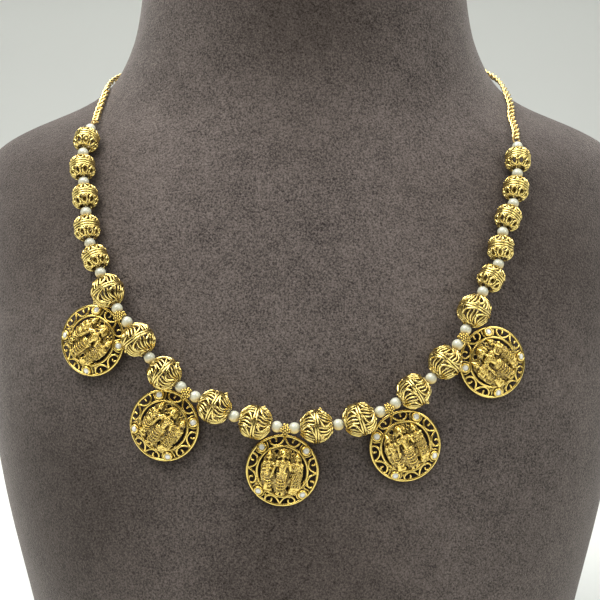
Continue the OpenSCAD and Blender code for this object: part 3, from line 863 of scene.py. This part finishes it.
def scattered(name, pieceMesh, frames, material):
    piece = linked(name + "Piece", pieceMesh)
    mesh = bpy.data.meshes.new(name)
    mesh.from_pydata([f[:3, 3].tolist() for f in frames], [], [])
    turns = np.array([Matrix(f[:3, :3].tolist()).to_euler()[:] for f in frames])
    mesh.attributes.new("turn", "FLOAT_VECTOR", "POINT").data.foreach_set("vector", turns.ravel())
    obj = linked(name, mesh)
    mod = obj.modifiers.new("scatter", "NODES")
    mod.node_group = scatter
    sockets = {i.name: i.identifier for i in scatter.interface.items_tree if i.in_out == "INPUT"}
    mod[sockets["Piece"]] = piece
    mod[sockets["Finish"]] = material
    bake(obj)
    bpy.data.objects.remove(piece)
    return obj


# Round openwork bead round the Z axis

roundBead = {"radius": 5.72, "petals": 6, "wire": (.4, .48), "rib": (.31, .38), "sunk": .22, "ribs": 3,
             "mouth": 1.95, "reach": 5.3, "near": 5.9, "spin": 2.399}
petalEdge = [(2, -6), (8, 8), (16, 29), (25, 41), (35, 44), (45, 38), (55, 25), (64, 11), (71, 2)]
ribRows = [(5, -13, 12), (15, -13, 14), (27, -10, 15), (40, -8, 15), (52, -12, 14), (62, -18, 12)]


def onBall(lon, lat, r):
    return np.array([r * math.cos(lat) * math.cos(lon), r * math.cos(lat) * math.sin(lon), r * math.sin(lat)])


def ballWire(shape, rows, r, wide, high, steps):
    path = [onBall(math.radians(lon), math.radians(lat), r) for lat, lon in spline(rows, steps)]
    ease = np.clip(np.sin(np.linspace(.3, math.pi - .3, len(path))) ** .4, .5, 1)
    wire(shape, path, [unit(p) for p in path], wide * ease, high * ease)


def petalShape(spec):
    shape, r = Shape(), spec["radius"]
    ballWire(shape, petalEdge, r, *spec["wire"], 4)
    for j in range(spec["ribs"]):
        rows = [(lat, lon + step * j) for lat, lon, step in ribRows]
        ballWire(shape, rows, r - spec["sunk"], *spec["rib"], 3)
    return shape


def around(name, petal, count, offset):
    frames = [spun(2 * math.pi * k / count + shift, flip) for flip, shift in ((1, 0.0), (-1, offset))
              for k in range(count)]
    petals = scattered(name, petal.mesh(name + "Petal"), frames, beadGold)
    shape = meshShape(petals.data)
    bpy.data.objects.remove(petals)
    return shape


def placeBeads(kind, mesh, spec):
    for k in range(1, 11):
        place = beadFrame(f"{kind}_bead_{k}", spec["near"]) @ spun((k * spec["spin"]) % (2 * math.pi))
        handIn(placed(mesh, f"{kind}BeadWork{k}", place), beadGold, f"{kind}_bead_{k}")
    print(kind, "beads placed", len(mesh.polygons))


def buildRoundBead(spec):
    shape, r = around("round", petalShape(spec), spec["petals"], .35), spec["radius"]
    for z in (-.42, .42):
        ringWire(shape, r - .02, z, .3, .34, 72)
    for e in (-1, 1):
        ringWire(shape, spec["mouth"], e * (spec["reach"] - .2), .36, .34, 40)
        ringWire(shape, 1.0, e * (spec["reach"] - .7), .3, .3, 24, 6)
        for k in range(5):
            c, s = math.cos(k * 2 * math.pi / 5), math.sin(k * 2 * math.pi / 5)
            outer = (spec["mouth"] * c, spec["mouth"] * s, e * (spec["reach"] - .3))
            limb(shape, (c, s, e * (spec["reach"] - .7)), outer, .26, .26, 6)
    for k in range(3):
        a = k * 2 * math.pi / 3 + .4
        for dx, dz, up in ((-.4, -.28, .2), (.4, -.28, .2), (0, .42, .2), (0, 0, .68)):
            blob(shape, onBall(a + dx / r, .28 + dz / r, r + up), .42, rings=6, segments=8)
    mesh = shape.mesh("roundBeadPattern")
    mesh.validate()
    occlusion(mesh, 12, 14)
    return mesh


placeBeads("round", buildRoundBead(roundBead), roundBead)


# Barrel bead round the Z axis

barrelBead = {"radius": 4.32, "band": 1.45, "height": 3.78, "petals": 9, "mouth": 2.45, "grains": 4.42,
              "near": 4.6, "spin": 1.7}


def barrelRadius(z, spec):
    over = max(abs(z) - spec["band"], 0) / (spec["height"] + .55 - spec["band"])
    return spec["radius"] * math.sqrt(max(1 - over * over, .05))


def barrelPetal(spec, step):
    petal, z0, z1 = Shape(), spec["band"], spec["height"]
    pts = []
    for t in np.arange(20) * math.pi / 10:
        a, z = math.sin(t) * (.78 + .22 * math.cos(t)) * step * .86, z0 + (z1 - z0) * .49 * (1 + math.cos(t))
        pts.append((barrelRadius(z, spec) * math.cos(a), barrelRadius(z, spec) * math.sin(a), z))
    wire(petal, pts, [unit([x, y, z * .8]) for x, y, z in pts], .36, .42, closed=True)
    return blob(petal, (barrelRadius(z0, spec) + .1, 0, z0 + .05), .36, rings=6, segments=8)


def buildBarrel(spec):
    r, z0, z1, step = spec["radius"], spec["band"], spec["height"], math.pi / spec["petals"]
    shape = around("barrel", barrelPetal(spec, step), spec["petals"], step)
    lathe(shape, [(r - .75, -z0 - .1), (r - .15, -z0), (r - .05, 0), (r - .15, z0), (r - .75, z0 + .1),
                  (r - 1.1, 0)], 48)
    for z, thick in ((-.95, .42), (0, .36), (.95, .42)):
        ringWire(shape, r + .02, z, thick, .4, 52)
    for e in (-1, 1):
        for k in range(2 * spec["petals"]):
            x, y = turned([(spec["grains"], 0)], (k + .25 * e) * step)[0]
            blob(shape, (x, y, e * (z0 + .12)), (.42, .42, .36), rings=6, segments=8)
    for e in (-1, 1):
        ringWire(shape, spec["mouth"], e * (z1 + .02), .36, .3, 36)
        for k in range(14):
            x, y = turned([(spec["mouth"] + .35, 0)], k * math.pi / 7)[0]
            blob(shape, (x, y, e * (z1 + .02)), .3, rings=5, segments=8)
    lathe(shape, [(.95, -3.4), (.95, 3.4), (.62, 3.4), (.62, -3.4)], 20)
    mesh = shape.mesh("barrelPattern")
    mesh.validate()
    occlusion(mesh, 7, 14)
    return mesh


placeBeads("barrel", buildBarrel(barrelBead), barrelBead)


# Pearls, drilled, with a painted reflection of the gold on their undersides

pearl = {"radius": 2.0, "bore": .5, "near": 2.7, "light": .2, "fade": .75}


def pearlShape(r, bore):
    a0 = math.asin(bore / r)
    return lathe(Shape(), [(r * math.sin(a), r * math.cos(a)) for a in np.linspace(math.pi - a0, a0, 16)], 24)


def pearlFrames(name):
    frames = []
    for pts in solids(name):
        centre = (pts.max(0) + pts.min(0)) / 2
        near = threadPoints[np.linalg.norm(threadPoints - centre, axis=1) < pearl["near"]]
        first = np.linalg.norm(near - near[0], axis=1) < pearl["radius"]
        axis = unit(near[~first].mean(0) - near[first].mean(0))
        side = unit(np.cross(axis, [0, 1, .3]))
        frames.append(matrixOf(side, np.cross(axis, side), axis, centre))
    return frames


for side in ("left", "right"):
    obj = scattered("pearlString_" + side, pearlShape(pearl["radius"], pearl["bore"]).mesh("pearl"),
                    pearlFrames("pearls_" + side), pearlCoat)
    obj.data.transform(Matrix(metres.tolist()))
    # Painted reflection: the mask grows on faces that point down, where the gold's warm colour is painted.
    normals = np.array([n.vector[:] for n in obj.data.vertex_normals])
    warm = np.clip((pearl["light"] - normals[:, 2]) / pearl["fade"], 0, 1)
    obj.data.attributes.new("under", "FLOAT", "POINT").data.foreach_set("value", warm)
    handIn(obj, pearlCoat, "pearls_" + side)
print("pearls placed")


# Chain of twisted links

# relief is the links' painted-light share, with each wire painted darker on its underside.
linkSpec = {"a": 2.05, "b": 1.25, "h": .55, "wire": .43, "steps": 24, "sides": 8, "relief": .8}


def linkShape(spec):
    f = np.arange(spec["steps"]) * 2 * math.pi / spec["steps"]
    path = np.stack([spec["a"] * np.cos(f), spec["b"] * np.sin(f), spec["h"] * np.sin(2 * f)], -1)
    return wire(Shape(), path, path, spec["wire"], spec["wire"] * .95, spec["sides"], True, spec["relief"])


def chainFrames(name, towards):
    centres = [g.mean(0) for g in solids(name)]
    chain = [min(centres, key=lambda c: np.linalg.norm(c - towards))]
    rest = [c for c in centres if c is not chain[0]]
    while rest:
        nearest = min(rest, key=lambda c: np.linalg.norm(c - chain[-1]))
        rest = [c for c in rest if c is not nearest]
        chain.append(nearest)
    frames = []
    for i, c in enumerate(chain):
        x = unit(chain[min(i + 1, len(chain) - 1)] - chain[max(i - 1, 0)])
        n = bustNormal(c)
        z = unit(n - x * (n @ x))
        frames.append(matrixOf(x, np.cross(z, x), z, c))
    return frames


for side in ("left", "right"):
    obj = scattered("chainLinks_" + side, linkShape(linkSpec).mesh("link"),
                    chainFrames("chain_" + side, middle("pearls_" + side)), chainGold)
    obj.data.transform(Matrix(metres.tolist()))
    handIn(obj, chainGold, "chain_" + side)
print("chain placed")

for name, material, slotName in (("clasp", chainGold, "chain_gold"), ("thread", threadFibre, "thread")):
    nodes[name].data.materials.clear()
    nodes[name].data.materials.append(material)


# Floor, light and camera

def studio(look):
    path = spline(look["sweep"], 6)
    rows = [(x, y, z - .0005) for y, z in path for x in (-3, 3)]
    floor = bpy.data.meshes.new("floor")
    floor.from_pydata(rows, [], [(2 * i, 2 * i + 1, 2 * i + 3, 2 * i + 2) for i in range(len(path) - 1)])
    floor.polygons.foreach_set("use_smooth", [True] * len(floor.polygons))
    floor.materials.append(Paint("floorPaint", Roughness=.8, Base_Color=(*look["floor"], 1)).material)
    linked("floor", floor)
    for name, place, size, power, colour in look["lights"]:
        data = bpy.data.lights.new(name, "AREA")
        data.shape, data.energy, data.color = "RECTANGLE", power, colour
        data.size, data.size_y = size
        obj = linked(name, data)
        obj.location = place
        obj.rotation_euler = (Vector(look["aim"]) - Vector(place)).to_track_quat("-Z", "Y").to_euler()
    world = bpy.data.worlds.new("sky")
    bpy.context.scene.world = world
    world.use_nodes = True
    world.node_tree.nodes["Background"].inputs["Color"].default_value = (*look["sky"], 1)
    world.node_tree.nodes["Background"].inputs["Strength"].default_value = look["skyPower"]
    bpy.context.scene.view_settings.view_transform = "Standard"


studio({"sweep": [(-3, 0), (.9, 0), (1.2, .06), (1.42, .28), (1.5, .6), (1.5, 3)], "aim": (0, -.02, .15),
        "floor": (.66, .68, .65), "sky": (.88, .9, .9), "skyPower": .13, "lights": [
    ("keyLeft", (-.5, -.36, 1.15), (.9, .7), 14, (1, .98, .94)),
    ("keyRight", (.75, -.45, .8), (.7, .5), 5, (1, .98, .94)),
    ("topLight", (-.05, -.12, 1.35), (1.0, .6), 9, (1, .99, .97)),
    ("backLight", (0, .5, 1.1), (1.6, .6), 12, (1, 1, 1))]})

viewSpec = {"lens": 97.4, "sensor": 36, "down": math.radians(10), "aim": (-.0017, -.061, .1495), "away": .56}
camera = bpy.data.cameras.new("camera")
camera.lens, camera.sensor_width = viewSpec["lens"], viewSpec["sensor"]
view = linked("camera", camera)
look = Vector((0, math.cos(viewSpec["down"]), -math.sin(viewSpec["down"])))
view.location = Vector(viewSpec["aim"]) - look * viewSpec["away"]
view.rotation_euler = look.to_track_quat("-Z", "Y").to_euler()
bpy.context.scene.camera = view

print("scene ready")
